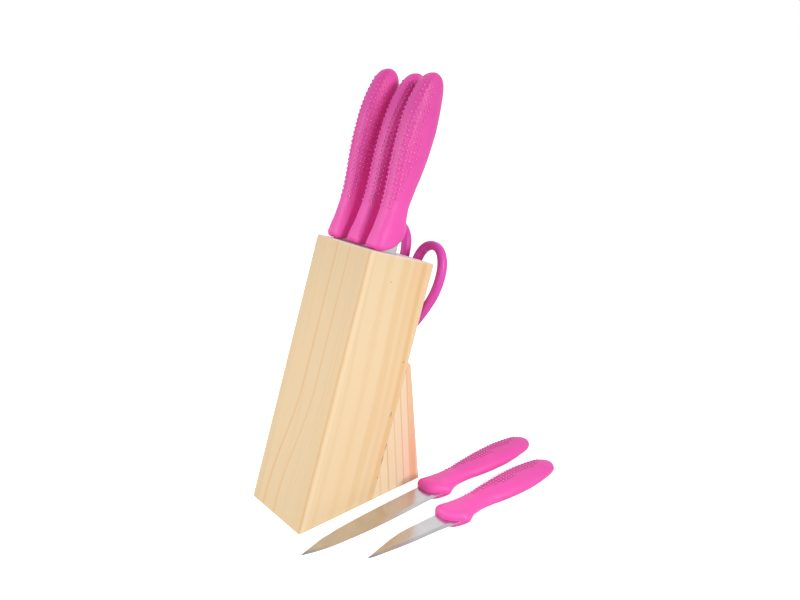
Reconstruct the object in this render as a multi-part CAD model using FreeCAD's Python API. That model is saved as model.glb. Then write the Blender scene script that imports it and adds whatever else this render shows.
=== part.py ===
import FreeCAD, Part
import math
import os

V3 = FreeCAD.Vector

# ---------------------------------------------------------------- driving dimensions (mm)
BLOCK_W = 72.0          # across the block, along X
BLOCK_D = 69.5          # square to the sloping front face
BLOCK_L = 232.0         # along the sloping front face, from the table edge to the top face
LEAN_DEG = 19.3         # the block leans back from upright
FOOT_E = 53.5           # how far the foot reaches behind the block, on the table
FOOT_M = 122.0          # how far up the rear face the foot reaches
FOOT_APEX = 129.5       # where the foot's rear face would meet the block's rear face
NOSE_R = 2.6
ARRIS_R = 2.4           # eased long edges
RIM_R = 1.4             # eased end edges

SLOT_T = 3.2            # knife slots, routed into one face of each joint
LONG_SLOT = (4.0, 41.0, 212.0)      # depth from, depth to, length down from the top face
SHORT_SLOT = (43.4, 66.6, 137.0)
KNIFE_X = (-25.4, 0.0, 25.4)        # planes of the three standing knives

CHANNEL_W = 52.0        # scissor channel in the foot's front face
CHANNEL_D = 8.4
CHANNEL_STOP = 12.0     # solid wood left below the scissor tips

DOWEL_R = 3.0
DOWEL_GLUE = 0.05       # glue film round each dowel

BLADE_T = 2.0           # long blades
SMALL_T = 1.5           # utility and paring blades
SCISSOR_T = 2.0         # each scissor blade
PIVOT_AX = 143.0        # scissor pivot, measured along the block's slope
PIVOT_R = 2.5
BOW_T = 8.0             # thickness of the scissor bows

TH = math.radians(LEAN_DEG)
C, S = math.cos(TH), math.sin(TH)
Y0 = (BLOCK_D / C + FOOT_E) / 2.0   # the footprint's centre, from the front edge
REAR_AX = BLOCK_D * math.tan(TH)    # where the rear face meets the table, along the slope

os.makedirs("parts", exist_ok=True)


def B(x, dep, ax):
    """A point from block coordinates: across, square to the front face, along the slope."""
    return V3(x, dep * C + ax * S - Y0, -dep * S + ax * C)


AXIS = V3(0, S, C)
NORM = V3(0, C, -S)
BLOCK_PL = FreeCAD.Placement(FreeCAD.Matrix(
    1, 0, 0, 0,
    0, C, S, -Y0,
    0, -S, C, 0,
    0, 0, 0, 1))


def placed(shape, pl):
    s = shape.copy()
    s.Placement = pl.multiply(s.Placement)
    return s


def to_block(shape):
    """Put a shape drawn in (across, depth, along) coordinates into the row frame."""
    return placed(shape, BLOCK_PL)


def polygon_yz(pts, x0, x1):
    """Prism along X from (second, third) coordinates."""
    w = Part.makePolygon([V3(x0, p[0], p[1]) for p in pts] + [V3(x0, pts[0][0], pts[0][1])])
    return Part.Face(w).extrude(V3(x1 - x0, 0, 0))


def box(x0, x1, y0, y1, z0, z1):
    return Part.makeBox(x1 - x0, y1 - y0, z1 - z0, V3(x0, y0, z0))


def one(shape):
    """The single solid of a shape that must be one piece."""
    sol = shape.Solids
    if len(sol) != 1:
        raise RuntimeError("expected one solid, got %d" % len(sol))
    s = sol[0]
    if not s.isValid():
        s.fix(1e-4, 1e-4, 1e-3)
    return s


def save(name, shape):
    bad = [i for i, s in enumerate(shape.Solids) if not s.isValid()]
    bb = shape.BoundBox
    print("%-24s solids %d vol %9.1f  x %.1f..%.1f y %.1f..%.1f z %.2f..%.1f %s" % (
        name, len(shape.Solids), shape.Volume, bb.XMin, bb.XMax, bb.YMin, bb.YMax, bb.ZMin, bb.ZMax,
        "INVALID %s" % bad if bad else ""))
    shape.exportStep("parts/%s.step" % name)


def spline_wire(pts, closed=True):
    bs = Part.BSplineCurve()
    bs.interpolate(Points=pts, PeriodicFlag=closed)
    return Part.Wire([bs.toShape()])


# ---------------------------------------------------------------- block boards
def edges_where(shape, test):
    return [e for e in shape.Edges if test(e)]


def block_blank():
    """The whole glued block, drawn in (across, depth, along) coordinates."""
    h = BLOCK_W / 2
    body = polygon_yz([(0, 0), (BLOCK_D, REAR_AX), (BLOCK_D, BLOCK_L), (0, BLOCK_L)], -h, h)

    def long_edge(e):
        a, b = e.Vertexes[0].Point, e.Vertexes[-1].Point
        return abs(a.x - b.x) < 1e-6 and abs(a.y - b.y) < 1e-6 and abs(a.z - b.z) > 50

    body = body.makeFillet(ARRIS_R, edges_where(body, long_edge))

    def rim_top(e):
        return all(abs(v.Point.z - BLOCK_L) < 1e-6 for v in e.Vertexes) and e.Length > 0.5

    body = body.makeFillet(RIM_R, edges_where(body, rim_top))
    # where the foot is glued on, the rear corners are left square, so that the two sides run on flush
    corner = ARRIS_R + 0.6
    square = polygon_yz([(0, 0), (BLOCK_D, REAR_AX), (BLOCK_D, REAR_AX + FOOT_M), (0, REAR_AX + FOOT_M)], -h, h)
    for x0, x1 in ((-h, corner - h), (h - corner, h)):
        body = body.fuse(square.common(box(x0, x1, BLOCK_D - corner, BLOCK_D + 1, -1, BLOCK_L)))
    return body.removeSplitter()


def dowel_hole(p, direction, length):
    return Part.makeCylinder(DOWEL_R + DOWEL_GLUE, length + 0.6, p - direction * 0.3, direction)


def dowel(p, direction, length):
    d = Part.makeCylinder(DOWEL_R, length, p, direction)
    return d.makeChamfer(0.6, [e for e in d.Edges if isinstance(e.Curve, Part.Circle)])


blank = block_blank()
h = BLOCK_W / 2
half = SLOT_T / 2
x_cuts = [-h - 1, KNIFE_X[0] - half, KNIFE_X[1] - half, KNIFE_X[2] - half, h + 1]
boards = []
for i in range(4):
    slab = box(x_cuts[i], x_cuts[i + 1], -5, BLOCK_D + 5, -5, BLOCK_L + 5)
    boards.append(blank.common(slab))


def slot(xc, spec):
    d0, d1, deep = spec
    s = box(xc - half, xc + half, d0, d1, BLOCK_L - deep, BLOCK_L + 3)
    lows = [e for e in s.Edges if abs(e.Vertexes[0].Point.z - (BLOCK_L - deep)) < 1e-6
            and abs(e.Vertexes[-1].Point.z - (BLOCK_L - deep)) < 1e-6
            and abs(e.Vertexes[0].Point.y - e.Vertexes[-1].Point.y) < 1e-6]
    return s.makeFillet(6.0, lows)


slots = {1: [slot(KNIFE_X[0], LONG_SLOT), slot(KNIFE_X[0], SHORT_SLOT)],
         2: [slot(KNIFE_X[1], LONG_SLOT)],
         3: [slot(KNIFE_X[2], LONG_SLOT), slot(KNIFE_X[2], SHORT_SLOT)]}
for i, cut in slots.items():
    for s in cut:
        boards[i] = boards[i].cut(s)

# dowels across the three glue joints, clear of the slots
board_dowels, holes = [], []
for j in range(1, 4):
    xj = x_cuts[j]
    for dep, ax in ((22.0, 13.0), (56.0, 38.0), (56.0, 78.0)):
        start = V3(xj - 7.0, dep, ax)
        board_dowels.append(dowel(start, V3(1, 0, 0), 14.0))
        holes.append(dowel_hole(start, V3(1, 0, 0), 14.0))

# dowels between the block's rear face and the foot's side walls
foot_dowels = []
for x in (-31.0, 31.0):
    for m in (28.0, 74.0):
        start = V3(x, BLOCK_D - 11.0, REAR_AX + m)
        foot_dowels.append(dowel(start, V3(0, 1, 0), 24.0))
        holes.append(dowel_hole(start, V3(0, 1, 0), 24.0))
for i in range(4):
    for hshape in holes:
        if boards[i].BoundBox.intersect(hshape.BoundBox):
            boards[i] = boards[i].cut(hshape)
for name, b in zip(("left_side_board", "left_inner_board", "right_inner_board", "right_side_board"), boards):
    save(name, to_block(one(b)))


# ---------------------------------------------------------------- rear foot
def foot():
    # drawn in (depth, along) coordinates, in the plane of the block's side
    def pt(y, z):
        # y behind the block's rear bottom edge on the table, z up
        return (BLOCK_D + y * C - z * S, REAR_AX + y * S + z * C)
    apex = (BLOCK_D, REAR_AX + FOOT_APEX)
    heel = pt(FOOT_E, 0)
    top = REAR_AX + FOOT_M
    k = (apex[1] - top) / (apex[1] - heel[1])
    nose = (apex[0] + (heel[0] - apex[0]) * k, top)
    body = polygon_yz([(BLOCK_D, REAR_AX), heel, nose, (BLOCK_D, top)], -h, h)

    def on(e, p):
        return all(abs(v.Point.y - p[0]) < 1e-4 and abs(v.Point.z - p[1]) < 1e-4 for v in e.Vertexes)

    body = body.makeFillet(NOSE_R, edges_where(body, lambda e: on(e, nose)))

    def rear_side(e):
        a, b = e.Vertexes[0].Point, e.Vertexes[-1].Point
        return (abs(a.x) > h - 1e-4 and abs(b.x) > h - 1e-4 and abs(a.x - b.x) < 1e-6
                and min(a.y, b.y) > BLOCK_D + 1.0 and abs(a.z - b.z) > 60)

    rear = edges_where(body, rear_side)
    body = body.makeFillet(ARRIS_R, rear)
    channel = box(-CHANNEL_W / 2, CHANNEL_W / 2, BLOCK_D - 1, BLOCK_D + CHANNEL_D,
                  REAR_AX + CHANNEL_STOP, REAR_AX + FOOT_M + 20)
    body = body.cut(channel)
    for hshape in holes:
        if body.BoundBox.intersect(hshape.BoundBox):
            body = body.cut(hshape)
    return body


save("rear_foot", to_block(one(foot())))
save("board_dowels", to_block(Part.Compound(board_dowels)))
save("foot_dowels", to_block(Part.Compound(foot_dowels)))

# ---------------------------------------------------------------- knife handles
# stations along the handle: u from the spine corner of its front end, spine and belly offsets
# from the blade's spine line, half thickness
LARGE = (
    [0, 10, 16, 20.7, 25.3, 30, 36.2, 50.3, 66.4, 82.5, 98.5, 112.6, 124.7, 133.7, 140.3, 143.2, 144.1],
    [-3.6, -2.05, -0.9, -0.35, 0.15, 0.65, 1.0, 0.6, -0.7, -1.4, -1.0, 0.4, 3.1, 5.9, 9.7, 13.7, 15.9],
    [24.0, 26.0, 27.4, 27.6, 25.7, 24.3, 23.6, 25.4, 28.4, 30.5, 31.4, 30.6, 29.2, 27.8, 25.2, 21.4, 20.2],
    [9.6, 9.1, 8.8, 8.6, 8.5, 8.45, 8.4, 8.8, 9.4, 9.9, 10.0, 9.8, 9.2, 7.8, 5.6, 3.2, 1.4])
SMALL = (
    [0, 9.1, 13.5, 20.1, 26, 32.8, 45.6, 60.2, 74.8, 89.4, 102.1, 113.1, 121.3, 127.2, 129.9, 130.7],
    [-1.9, -0.8, -0.1, 0.7, 1.05, 1.1, -0.35, -1.45, -2.2, -2.4, -1.5, 0.2, 2.85, 6.05, 9.15, 10.9],
    [21.5, 24.5, 25.2, 22.4, 19.7, 18.4, 19.0, 21.35, 22.8, 23.4, 22.7, 21.25, 19.85, 17.6, 13.9, 12.6],
    [8.05, 7.65, 7.5, 7.2, 7.1, 7.05, 7.4, 7.9, 8.3, 8.4, 8.2, 7.75, 6.55, 4.7, 2.7, 1.2])
# the front end face, as (v, u): it sweeps back to the finger guard
LARGE_END = [(-6, 8.0), (-4, 3.6), (-1.5, 1.0), (2, 0.2), (6, 1.0), (10, 2.4), (14, 4.4), (18, 6.8), (21, 9.0),
             (23.5, 11.4), (25.5, 13.9), (27.2, 16.5), (29.0, 19.6)]
SMALL_END = [(-6, 8.0), (-3, 2.4), (0, -0.2), (4, -1.2), (9, -1.1), (13, -0.1), (16.5, 2.0), (19, 4.9), (21, 8.4),
             (23, 11.2), (25, 13.8), (27, 16.4)]


def ring_wire(pts):
    """A closed cubic through evenly numbered points, so that neighbouring sections loft without ripples."""
    n, ctl = len(pts), list(pts)
    for _ in range(30):
        ctl = [(pts[i] * 6 - ctl[i - 1] - ctl[(i + 1) % n]) * 0.25 for i in range(n)]
    bs = Part.BSplineCurve()
    bs.buildFromPolesMultsKnots(ctl, [1] * (n + 1), [float(k) for k in range(n + 1)], True, 3)
    return Part.Wire([bs.toShape()])


def thin(u, body, front):
    """How much thinner the handle is along its finger side: more at the guard."""
    return body + (front - body) * min(max((32.0 - u) / 12.0, 0.0), 1.0)


def section(u, lo, hi, t, slim, n=28):
    c, a = (lo + hi) / 2, (hi - lo) / 2
    pts = []
    for i in range(n):
        ph = 2 * math.pi * (i + 0.5) / n
        cx, sv = math.cos(ph), math.sin(ph)
        e = 3.2 if sv < 0 else 2.4
        w = abs(sv) ** (2 / e)
        k = 1.0 - slim * w * w if sv > 0 else 1.0
        pts.append(V3(t * k * math.copysign(abs(cx) ** (2 / e), cx), c + a * math.copysign(w, sv), u))
    return ring_wire(pts)


def handle_body(table, end, body, front):
    """Knife coordinates: x across the blade, v from the spine line to the edge, u towards the butt."""
    hu, hs, hb, ht = table
    wires = [section(-8.0, hs[0], hb[0], ht[0], front)]
    for u, lo, hi, t in zip(hu, hs, hb, ht):
        wires.append(section(u, lo, hi, t, thin(u, body, front)))
    solid = Part.makeLoft(wires, True, False)
    # the front end face: everything ahead of the curve goes
    pts = [V3(-15, v, u) for v, u in end]
    bs = Part.BSplineCurve()
    bs.interpolate(Points=pts)
    w = Part.Wire([bs.toShape(),
                   Part.makeLine(pts[-1], V3(-15, pts[-1].y, -30)),
                   Part.makeLine(V3(-15, pts[-1].y, -30), V3(-15, pts[0].y, -30)),
                   Part.makeLine(V3(-15, pts[0].y, -30), pts[0])])
    solid = solid.cut(Part.Face(w).extrude(V3(30, 0, 0)))
    return one(solid)


# ---------------------------------------------------------------- blades
def ground_plate(outline, inner, t, tip_t=0.3):
    """A blade: full thickness inside `inner`, ground down to tip_t at `outline` (same point count)."""
    def w(pts, x):
        return Part.makePolygon([V3(x, p[0], p[1]) for p in pts] + [V3(x, pts[0][0], pts[0][1])])
    f = [w(inner, -t / 2), w(outline, -tip_t / 2), w(outline, tip_t / 2), w(inner, t / 2)]
    return Part.makeLoft(f, True, True)


def smooth(pts, n):
    """Points on a spline through pts, so a curved edge is faceted finely."""
    bs = Part.BSplineCurve()
    bs.interpolate(Points=[V3(p[0], p[1], 0) for p in pts])
    a, b = bs.FirstParameter, bs.LastParameter
    return [(bs.value(a + (b - a) * i / (n - 1)).x, bs.value(a + (b - a) * i / (n - 1)).y) for i in range(n)]


def blade(spine, edge, t, bevel, tang, serrate=0.0):
    """spine and edge run from the handle to the tip as (v, u), u negative towards the tip.
    bevel: width of the ground strip. tang: (v0, v1, u_end, hole_us)."""
    sp = smooth(spine, 9)
    ed = smooth(edge, 25)
    outline, inner = [], []
    for p in sp[:-1]:
        outline.append(p)
        inner.append((p[0] + 0.35, p[1]))
    tip = ed[-1]
    outline.append(tip)
    inner.append((tip[0] - 0.2, tip[1] + 1.4 * bevel))
    body = list(reversed(ed[:-1]))
    for i, p in enumerate(body):
        outline.append(p)
        k = min(1.0, (i + 1) / 5.0)
        inner.append((p[0] - bevel * (0.35 + 0.65 * k), p[1] + (1 - k) * bevel * 0.8))
    plate = ground_plate(outline, inner, t)
    if serrate > 0:
        u = edge[0][1] - 22.0
        v = edge[0][0]
        pitch = 6.0
        cutters = []
        while u > edge[-1][1] + 22.0:
            r = 4.6
            # scallops along the straight part of the edge
            vi = _edge_v(ed, u)
            cutters.append(Part.makeCylinder(r, 8, V3(-4, vi + r - serrate, u), V3(1, 0, 0)))
            u -= pitch
        plate = plate.cut(cutters[0].multiFuse(cutters[1:]) if len(cutters) > 1 else cutters[0])
    v0, v1, u_end, hs = tang
    tg = box(-t / 2, t / 2, v0, v1, edge[0][1] - 2.0, u_end)
    ends = [e for e in tg.Edges if abs(e.Vertexes[0].Point.z - u_end) < 1e-6 and abs(e.Vertexes[-1].Point.z - u_end) < 1e-6
            and abs(e.Vertexes[0].Point.y - e.Vertexes[-1].Point.y) < 1e-6]
    tg = tg.makeFillet(3.0, ends)
    out = plate.fuse(tg).removeSplitter()
    for hu in hs:
        out = out.cut(Part.makeCylinder(2.2, 10, V3(-5, (v0 + v1) / 2, hu), V3(1, 0, 0)))
    return one(out)


def _edge_v(ed, u):
    for a, b in zip(ed, ed[1:]):
        if (a[1] - u) * (b[1] - u) <= 0 and a[1] != b[1]:
            return a[0] + (b[0] - a[0]) * (u - a[1]) / (b[1] - a[1])
    return ed[0][0]


LONG = -203.0 + 12.0
BREAD = blade([(0.6, 20.0), (0.6, -60.0), (0.6, -150.0), (1.2, -176.0), (6.0, -188.0)],
              [(25.2, 20.0), (25.2, -60.0), (25.0, -150.0), (23.6, -176.0), (17.0, -188.5), (12.5, -191.0)],
              BLADE_T, 4.0, (4.0, 17.0, 104.0, (54.0, 88.0)), serrate=1.5)
SLICER = blade([(0.6, 20.0), (0.6, -60.0), (0.8, -120.0), (3.4, -160.0), (9.0, -182.0)],
               [(25.2, 20.0), (25.2, -60.0), (24.2, -120.0), (21.4, -160.0), (17.6, -182.0), (13.0, -191.0)],
               BLADE_T, 4.5, (4.0, 17.0, 104.0, (54.0, 88.0)))
CHEF = blade([(0.6, 20.0), (0.6, -60.0), (1.0, -120.0), (4.6, -160.0), (11.0, -184.0)],
             [(25.2, 20.0), (25.2, 2.0), (27.6, -16.0), (29.0, -60.0), (27.6, -120.0), (23.0, -160.0), (18.2, -182.0), (14.0, -191.0)],
             BLADE_T, 6.0, (4.0, 17.0, 104.0, (54.0, 88.0)))
UTILITY = blade([(1.3, 16.0), (1.3, -10.0), (1.4, -38.0), (1.8, -60.0), (2.4, -77.0), (3.8, -95.4), (5.4, -107.4), (7.1, -116.4), (8.8, -122.4)],
                [(21.4, 16.0), (21.6, -20.0), (21.6, -41.0), (21.3, -54.0), (20.7, -71.0), (19.7, -83.4), (18.5, -95.4),
                 (16.7, -107.4), (14.5, -116.4), (12.5, -122.4), (10.4, -127.3)],
                SMALL_T, 3.4, (4.0, 14.5, 92.0, (46.0, 78.0)))
PARING = blade([(1.5, 16.0), (1.9, -8.0), (1.5, -25.0), (1.5, -35.0), (2.1, -43.0), (3.6, -51.0), (5.0, -57.0), (6.9, -65.8), (8.4, -71.8)],
               [(20.7, 16.0), (20.1, -3.0), (18.9, -12.0), (17.6, -27.0), (16.5, -39.0), (14.9, -51.0), (13.0, -62.8),
                (11.4, -71.8), (9.6, -76.7)],
               SMALL_T, 3.2, (4.0, 14.5, 92.0, (46.0, 78.0)))


def standing(shape, xc, raised, dep, tilt):
    """A knife in its slot: raised above the top face, its spine line at depth dep, tilted in its slot."""
    s = shape.copy()
    s.rotate(V3(0, 20 - dep, 0), V3(1, 0, 0), -tilt)
    s.translate(V3(xc, dep, BLOCK_L + raised))
    return to_block(s)


large_handle = handle_body(LARGE, LARGE_END, 0.22, 0.32)
small_handle = handle_body(SMALL, SMALL_END, 0.28, 0.50)

KNIVES = (("bread_knife", BREAD, KNIFE_X[0], 1.85, 8.94, -0.85),
          ("slicing_knife", SLICER, KNIFE_X[1], 1.65, 10.2, 2.25),
          ("chef_knife", CHEF, KNIFE_X[2], 0.6, 9.56, 0.27))
for name, bl, xc, up, dep, tilt in KNIVES:
    hd = one(large_handle.cut(bl))
    save(name + "_blade", standing(bl, xc, up, dep, tilt))
    save(name + "_handle", standing(hd, xc, up, dep, tilt))


def lying(shape, tip, heading_deg, t0, v0, lift):
    """A knife on its side on the table: tip position on the blade's mid plane, heading of the axis."""
    ph = math.radians(heading_deg)
    ax = V3(math.cos(ph), math.sin(ph), 0)
    sp = V3(-math.sin(ph), math.cos(ph), 0)          # towards the spine
    up = V3(0, 0, 1)
    # knife x -> up, v -> -sp, u -> ax ; (x, v, u) is right handed when x = v cross u
    m = FreeCAD.Matrix(up.x, -sp.x, ax.x, 0, up.y, -sp.y, ax.y, 0, up.z, -sp.z, ax.z, 0, 0, 0, 0, 1)
    pl = FreeCAD.Placement(m)
    org = V3(tip[0], tip[1], 0) + ax * t0 + sp * v0
    pl.Base = V3(org.x, org.y, lift)
    return placed(shape, pl)


SMALL_REST = 8.4 + 0.15
LYING = (("utility_knife", UTILITY, (66.8, -82.85), 90.25, 127.45, 10.4),
         ("paring_knife", PARING, (101.65, -47.35), 88.75, 76.75, 9.6))
for name, bl, tip, hdg, t0, v0 in LYING:
    hd = one(small_handle.cut(bl))
    save(name + "_blade", lying(bl, tip, hdg, t0, v0, SMALL_REST))
    save(name + "_handle", lying(hd, tip, hdg, t0, v0, SMALL_REST))

# ---------------------------------------------------------------- kitchen scissors
# drawn in (across, along) coordinates, lying against the block's rear face
SC_MID = BLOCK_D + 5.2              # the plane between the two blades
R_OUT = [(1.6, 160), (1.9, 172), (2.8, 188), (3.7, 206), (4.6, 224), (6.6, 236), (11.2, 244.2), (17.5, 248.8), (25, 250.2),
         (32.5, 248.4), (39, 243), (43.4, 235), (45.2, 226), (44.9, 215.5), (42.9, 205.5), (39.2, 196), (33.8, 185.5),
         (27.3, 174.5), (21.3, 164.5), (16.0, 156.4), (11.6, 151.4), (7.0, 149.2), (3.2, 151.6)]
R_HOLE = [(11.0, 188), (11.6, 206), (12.5, 224), (14.6, 234), (18.6, 240.2), (24.6, 242.6), (30.6, 241), (35, 235.4),
          (37.4, 226), (37.2, 216), (35.2, 206.5), (31.8, 198), (27.2, 189.0), (22.4, 181.0), (18.0, 175.4), (13.8, 174.4), (11.4, 178.6)]
L_OUT = [(-1.6, 160), (-1.9, 172), (-2.4, 188), (-2.8, 206), (-3.0, 224), (-3.6, 239), (-5.6, 246.8), (-9.2, 252.8),
         (-14.6, 257.8), (-21.5, 260.8), (-29.5, 261.4), (-37, 258.8), (-43.4, 253), (-47.4, 244), (-48.8, 232), (-47.6, 219),
         (-44.4, 206.5), (-39.4, 195), (-33.2, 184), (-26.8, 173.5), (-21, 164.2), (-16.0, 156.4), (-11.6, 151.4), (-7.0, 149.2), (-3.2, 151.6)]
L_HOLE = [(-10.6, 188), (-11, 206), (-11.2, 224), (-12, 237.6), (-14.6, 245.4), (-19.4, 250.8), (-26.4, 253.2), (-33.4, 252),
          (-38.2, 247.2), (-40.6, 239.6), (-41, 230), (-39.8, 219), (-36.8, 208.5), (-32.2, 198.4), (-27.2, 189.2),
          (-22.4, 181.0), (-18.0, 175.4), (-13.8, 174.4), (-11.2, 178.6)]


def bow(outer, hole):
    """A bow handle: a plate with a finger hole, every edge rounded over."""
    def face_wire(pts):
        return spline_wire([V3(p[0], -BOW_T / 2, p[1]) for p in pts])
    f = Part.Face([face_wire(outer), face_wire(hole)])
    f.validate()
    plate = f.extrude(V3(0, BOW_T, 0))
    if plate.Volume < 0:
        plate.reverse()
    rim = [e for e in plate.Edges if e.Length > 60]
    plate = plate.makeFillet(3.3, rim)
    return one(plate)


def scissor_blade(side):
    """side = +1: the half whose bow is at +x and whose blade's spine is at -x. Flat plate, two ground edges."""
    tip_z = 38.0 - PIVOT_AX
    spine = [(-8.6, -2.0), (-8.2, -20.0), (-6.6, -60.0), (-3.4, -96.0), (-1.2, tip_z)]
    edge = [(0.4, tip_z + 0.2), (3.0, -60.0), (5.2, -24.0), (6.4, -11.0)]
    pts = spine + edge
    poly = [V3(p[0] * side, 0, p[1]) for p in pts] + [V3(8.4 * side, 0, 2.0)]
    # shank that goes up into the bow handle
    poly += [V3(8.0 * side, 0, 9.0), V3(11.5 * side, 0, 20.0), V3(8.6 * side, 0, 27.5), V3(4.6 * side, 0, 27.5),
             V3(2.6 * side, 0, 12.0), V3(-6.0 * side, 0, 6.5)]
    w = Part.makePolygon(poly + [poly[0]])
    plate = Part.Face(w).extrude(V3(0, SCISSOR_T, 0))
    if plate.Volume < 0:
        plate.reverse()
    disc = Part.makeCylinder(8.8, SCISSOR_T, V3(0, 0, 0), V3(0, 1, 0))
    plate = plate.fuse(disc).removeSplitter()
    return plate


def to_scissor(shape, dep):
    s = shape.copy()
    s.translate(V3(0, dep, PIVOT_AX))
    return to_block(s)


GAP = 0.06
halves = {}
for nm, side, dep in (("right", 1, SC_MID - SCISSOR_T - GAP / 2), ("left", -1, SC_MID + GAP / 2)):
    pl = scissor_blade(side)
    # hollow-ground relief along the cutting edge, on the outer face
    hole_r = PIVOT_R + 0.05
    pl = pl.cut(Part.makeCylinder(hole_r, 10, V3(0, -4, 0), V3(0, 1, 0)))
    outer_y = 0 if nm == "right" else SCISSOR_T
    e0, e1 = V3(0.4 * side, outer_y, 38.0 - PIVOT_AX), V3(6.4 * side, outer_y, -11.0)
    d = (e1 - e0)
    d.normalize()
    across = V3(-d.z, 0, d.x) if side > 0 else V3(d.z, 0, -d.x)     # from the edge inwards
    inward = 1.4 if nm == "right" else -1.4
    tri = Part.makePolygon([e0 - d * 4 - across * 1.0 + V3(0, inward * 1.36, 0), e0 - d * 4 + across * 2.6,
                            e0 - d * 4 - across * 1.0 - V3(0, inward, 0) * 1.0,
                            e0 - d * 4 - across * 1.0 + V3(0, inward * 1.36, 0)])
    cutter = Part.Face(tri).extrude(d * ((e1 - e0).Length + 2.0))
    pl = pl.cut(cutter)
    halves[nm] = (one(pl), dep)

for nm, out_pts, hole_pts in (("right", R_OUT, R_HOLE), ("left", L_OUT, L_HOLE)):
    pl, dep = halves[nm]
    bw = bow(out_pts, hole_pts)
    tang = pl.copy()
    tang.translate(V3(0, dep - SC_MID, PIVOT_AX))
    bw = bw.cut(tang)
    # a step round the pivot clears the other half's blade
    y0 = -0.02 if nm == "right" else -6.0
    bw = bw.cut(Part.makeCylinder(9.4, 6.02, V3(0, y0, PIVOT_AX), V3(0, 1, 0)))
    bw.translate(V3(0, SC_MID, 0))
    save("scissors_%s_bow" % nm, to_block(one(bw)))
    save("scissors_%s_blade" % nm, to_scissor(pl, dep))

# pivot screw from behind, sleeve nut from the block side
y_front = SC_MID - SCISSOR_T - GAP / 2      # front face of the front blade
y_rear = SC_MID + SCISSOR_T + GAP / 2
pv = V3(0, 0, PIVOT_AX)
head = Part.makeCylinder(6.0, 1.9, V3(0, y_rear + 0.05, PIVOT_AX), V3(0, 1, 0))
head = head.makeFillet(0.8, [e for e in head.Edges if isinstance(e.Curve, Part.Circle) and e.Vertexes[0].Point.y > y_rear + 1.5])
shaft = Part.makeCylinder(PIVOT_R, y_rear + 0.05 - y_front + 1.5, V3(0, y_front - 1.5, PIVOT_AX), V3(0, 1, 0))
slot_cut = box(-7, 7, y_rear + 1.15, y_rear + 3, PIVOT_AX - 0.6, PIVOT_AX + 0.6)
screw = head.fuse(shaft).removeSplitter().cut(slot_cut)
save("pivot_screw", to_block(one(screw)))
nut = Part.makeCylinder(5.0, 1.8, V3(0, y_front - 0.05 - 1.8, PIVOT_AX), V3(0, 1, 0))
nut = nut.cut(Part.makeCylinder(PIVOT_R, 6, V3(0, y_front - 1.5, PIVOT_AX), V3(0, 1, 0)))
nut = nut.makeFillet(0.5, [e for e in nut.Edges if isinstance(e.Curve, Part.Circle) and e.Curve.Radius > 4 and e.Vertexes[0].Point.y < y_front - 1.5])
save("pivot_nut", to_block(one(nut)))
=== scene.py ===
# Looks for the knife block: camera, light, wood, moulded handles with raised grip dots, ground steel.
import math
import random

import bmesh
import bpy
import numpy as np
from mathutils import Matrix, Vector


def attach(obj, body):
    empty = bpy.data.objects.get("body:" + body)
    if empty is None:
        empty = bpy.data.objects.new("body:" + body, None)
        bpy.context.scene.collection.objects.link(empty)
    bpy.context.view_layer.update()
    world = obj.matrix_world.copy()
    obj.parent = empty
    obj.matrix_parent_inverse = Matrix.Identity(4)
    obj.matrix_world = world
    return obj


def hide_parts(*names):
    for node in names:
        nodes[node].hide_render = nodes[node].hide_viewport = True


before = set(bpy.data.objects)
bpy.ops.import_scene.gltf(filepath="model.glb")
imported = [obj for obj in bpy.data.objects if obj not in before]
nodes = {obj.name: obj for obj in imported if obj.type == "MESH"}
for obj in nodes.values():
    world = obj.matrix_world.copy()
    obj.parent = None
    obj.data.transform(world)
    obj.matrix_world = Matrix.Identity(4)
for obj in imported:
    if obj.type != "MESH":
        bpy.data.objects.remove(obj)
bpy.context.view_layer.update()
random.seed(7)
MM = 0.001

# ------------------------------------------------------------------ the block's own coordinates
LEAN = math.radians(19.3)
C, S = math.cos(LEAN), math.sin(LEAN)
BLOCK_D, BLOCK_L, FOOT_E = 69.5, 232.0, 53.5
Y0 = (BLOCK_D / C + FOOT_E) / 2.0


def block(p):
    """Rows of (across, depth, along the slope) in mm -> row frame in mm."""
    x, dep, ax = p[..., 0], p[..., 1], p[..., 2]
    return np.stack([x, dep * C + ax * S - Y0, -dep * S + ax * C], -1)


# ------------------------------------------------------------------ camera, floor, light
cam_data = bpy.data.cameras.new("camera")
cam_data.sensor_fit = "HORIZONTAL"
cam_data.sensor_width = 36.0
cam_data.lens = 719.27 / 800.0 * 36.0
cam_data.clip_start, cam_data.clip_end = 0.01, 100.0
camera = bpy.data.objects.new("camera", cam_data)
bpy.context.scene.collection.objects.link(camera)
az, el, dist = math.radians(49.383), math.radians(18.511), 510.65
back = Vector((math.sin(az) * math.cos(el), -math.cos(az) * math.cos(el), math.sin(el)))
camera.location = (Vector((84.30, 0.0, 194.17)) + back * dist) * MM
camera.rotation_euler = (math.pi / 2 - el, 0.0, az)
bpy.context.scene.camera = camera


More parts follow.
